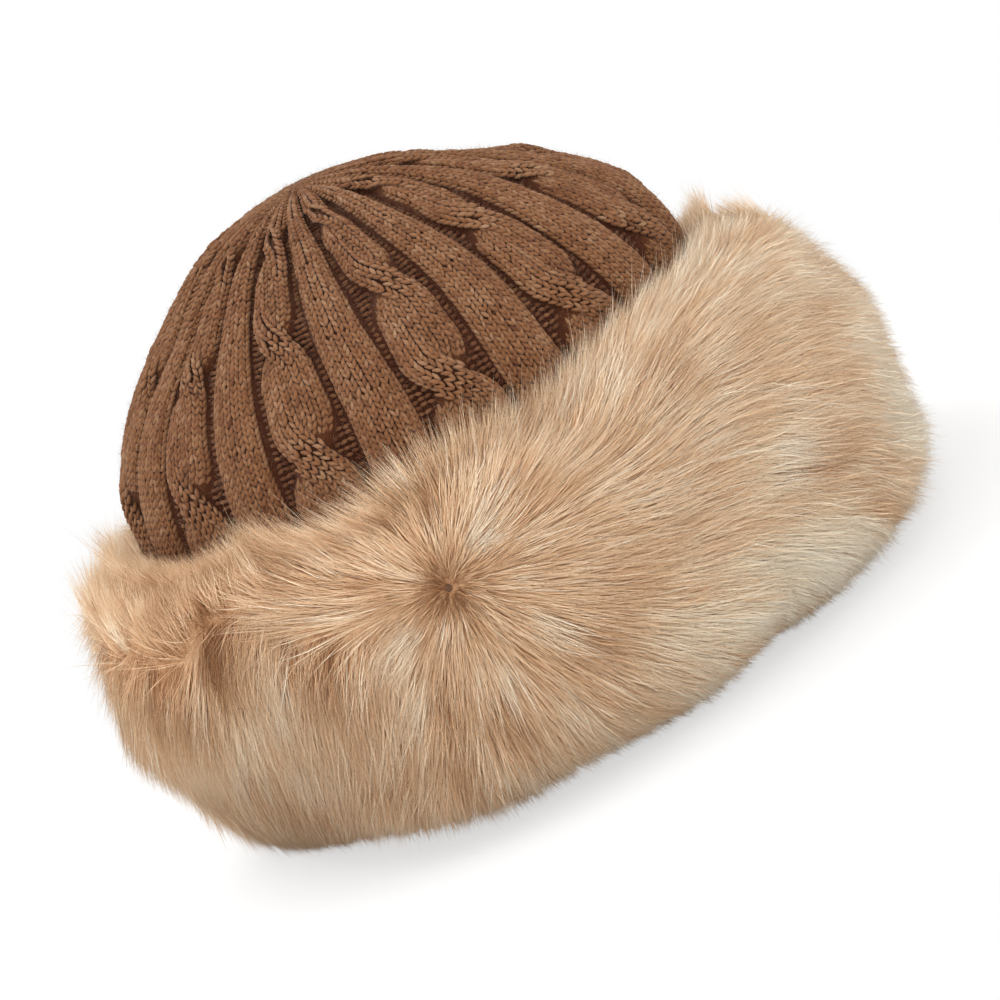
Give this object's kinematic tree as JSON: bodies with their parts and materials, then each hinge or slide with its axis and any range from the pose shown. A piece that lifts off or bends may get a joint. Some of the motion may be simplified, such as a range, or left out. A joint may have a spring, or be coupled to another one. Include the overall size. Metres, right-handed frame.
{
  "type": "fur-cuffed knitted hat",
  "caption": "Close-fitting winter hat: a domed cable-knit crown gathered at the top, fleece lining inside, and a thick faux-fur cuff round the head opening.",
  "frame": {"origin": "centre of the bounding box at its base, where the cuff's rim stands", "axes": "+Z from the head opening to the gathered top of the crown, +X along the longer side of the oval to the right as pictured, -Y to the front with the whorl of the fur"},
  "size_m": [0.286, 0.2656, 0.189],
  "materials": {
    "knit": "matte",
    "yarn": "matte",
    "fleece": "matte",
    "thread": "matte",
    "fur": "matte",
    "wadding": "matte",
    "facing": "matte"
  },
  "bodies": {
    "root": {"knit_crown": "knit", "crown_gather_yarn": "yarn", "crown_back_seam": "yarn", "lining_gore_1": "fleece", "lining_gore_2": "fleece", "lining_gore_3": "fleece", "lining_gore_4": "fleece", "lining_seam_1": "thread", "lining_seam_2": "thread", "lining_seam_3": "thread", "lining_seam_4": "thread", "cuff_fur_front": "fur", "cuff_fur_back": "fur", "cuff_wadding": "wadding", "cuff_facing": "facing", "cuff_top_stitching": "thread", "cuff_rim_stitching": "thread", "cuff_seam_left": "thread", "cuff_seam_right": "thread", "cuff_tack_front": "thread", "cuff_tack_back": "thread"}
  },
  "joints": []
}
